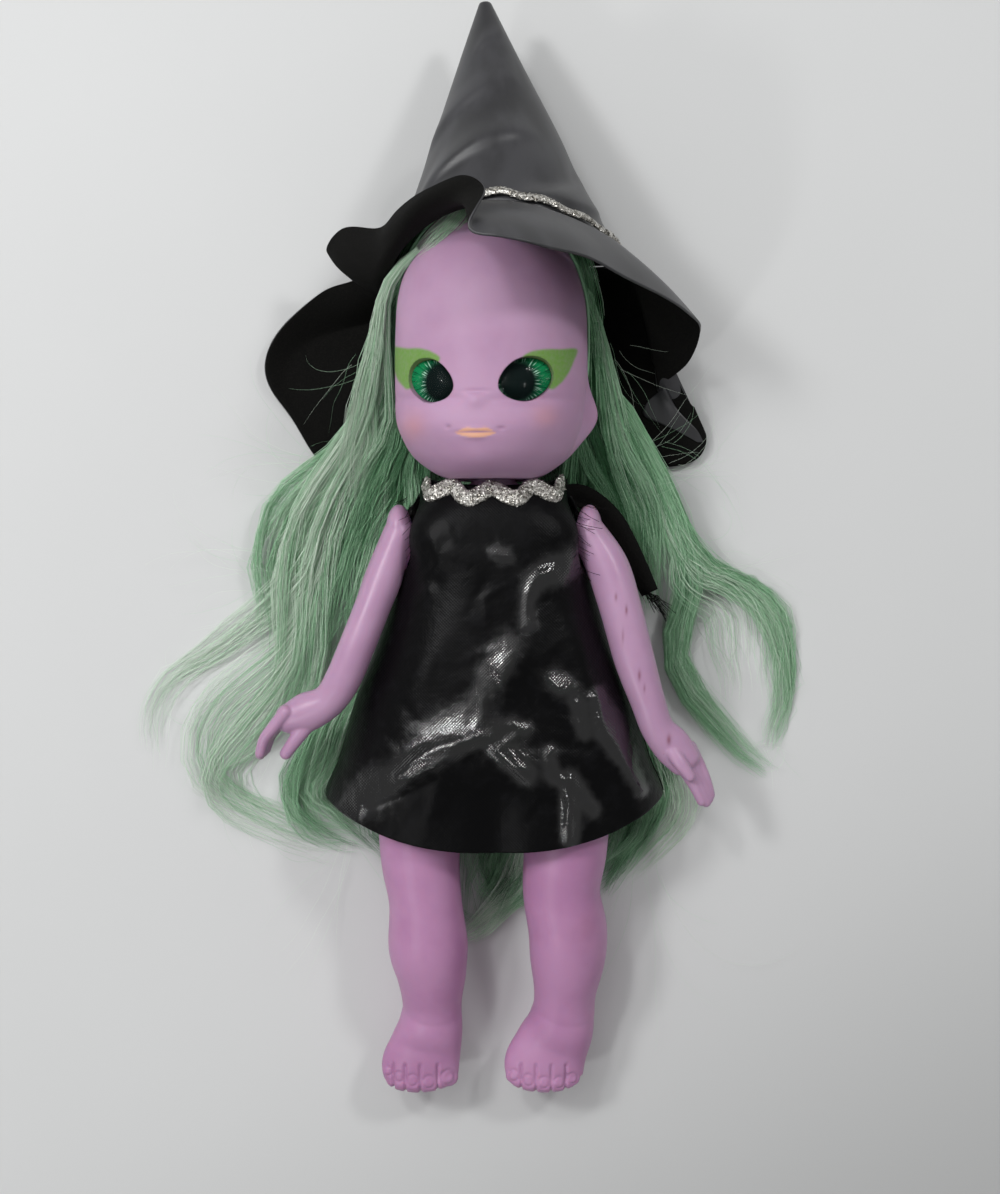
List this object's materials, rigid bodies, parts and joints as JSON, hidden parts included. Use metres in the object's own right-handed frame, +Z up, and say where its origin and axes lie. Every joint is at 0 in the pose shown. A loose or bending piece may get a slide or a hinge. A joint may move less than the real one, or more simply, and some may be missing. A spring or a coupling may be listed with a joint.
{
  "type": "witch doll",
  "caption": "Vinyl witch doll lying on its back: turning head with inset eyes, long hair, swinging arms and legs, sleeveless dress, and a lift-off pointed hat with a ruffled brim.",
  "frame": {"origin": "on the table, under the middle of the doll's box", "axes": "+Z up from the table, +Y towards the hat's tip, +X to the doll's own left side"},
  "size_m": [0.1606, 0.2548, 0.073],
  "materials": {
    "skin": "lilac vinyl, satin",
    "leg_skin": "pinker lilac vinyl, satin",
    "dress_vinyl": "black patent film on woven cloth, glossy",
    "steel_wire": "plain wire",
    "silver_braid": "silver glitter braid",
    "eye_lens": "clear dome, glossy",
    "iris": "green with silver rays",
    "eye_cup": "dark plastic",
    "hair": "pale mint synthetic fibre",
    "hat_vinyl": "dark grey satin vinyl with a matte black lining"
  },
  "bodies": {
    "torso": {"torso_shell": "skin", "dress_front": "dress_vinyl", "dress_back_left": "dress_vinyl", "dress_back_right": "dress_vinyl", "neck_trim": "silver_braid", "neck_hook": "steel_wire", "neck_eye": "steel_wire", "hair_fall_left": "hair", "hair_fall_right": "hair", "hair_back": "hair"},
    "head": {"head_shell": "skin", "left_eye_lens": "eye_lens", "left_eye_iris": "iris", "left_eye_cup": "eye_cup", "right_eye_lens": "eye_lens", "right_eye_iris": "iris", "right_eye_cup": "eye_cup", "hair_cap": "hair", "front_lock_left": "hair", "front_lock_right": "hair"},
    "hat": {"hat_cone": "hat_vinyl", "hat_trim": "silver_braid", "hat_brim": "hat_vinyl"},
    "left_arm": {"left_arm": "skin"},
    "right_arm": {"right_arm": "skin"},
    "left_leg": {"left_leg": "leg_skin"},
    "right_leg": {"right_leg": "leg_skin"}
  },
  "joints": [
    {"name": "head_turn", "type": "hinge", "parent": "torso", "child": "head", "pos_m": [0.00368, 0.01723, 0.024], "axis": [0, 1, 0], "range_deg": [-40, 50], "deforming": ["front_lock_left", "front_lock_right"]},
    {"name": "hat_lift", "type": "slide", "parent": "head", "child": "hat", "axis": [-0.068, 0.9854, -0.1561], "range_m": [0, 0.025]},
    {"name": "left_shoulder", "type": "hinge", "parent": "torso", "child": "left_arm", "pos_m": [0.02248, 0.00623, 0.0205], "axis": [-1, 0, 0], "range_deg": [0, 100]},
    {"name": "right_shoulder", "type": "hinge", "parent": "torso", "child": "right_arm", "pos_m": [-0.01512, 0.00623, 0.0205], "axis": [-1, 0, 0], "range_deg": [0, 100]},
    {"name": "left_hip", "type": "hinge", "parent": "torso", "child": "left_leg", "pos_m": [0.01198, -0.04077, 0.018], "axis": [-1, 0, 0], "range_deg": [0, 90], "deforming": ["dress_front"]},
    {"name": "right_hip", "type": "hinge", "parent": "torso", "child": "right_leg", "pos_m": [-0.00462, -0.04077, 0.018], "axis": [-1, 0, 0], "range_deg": [0, 90], "deforming": ["dress_front"]}
  ]
}
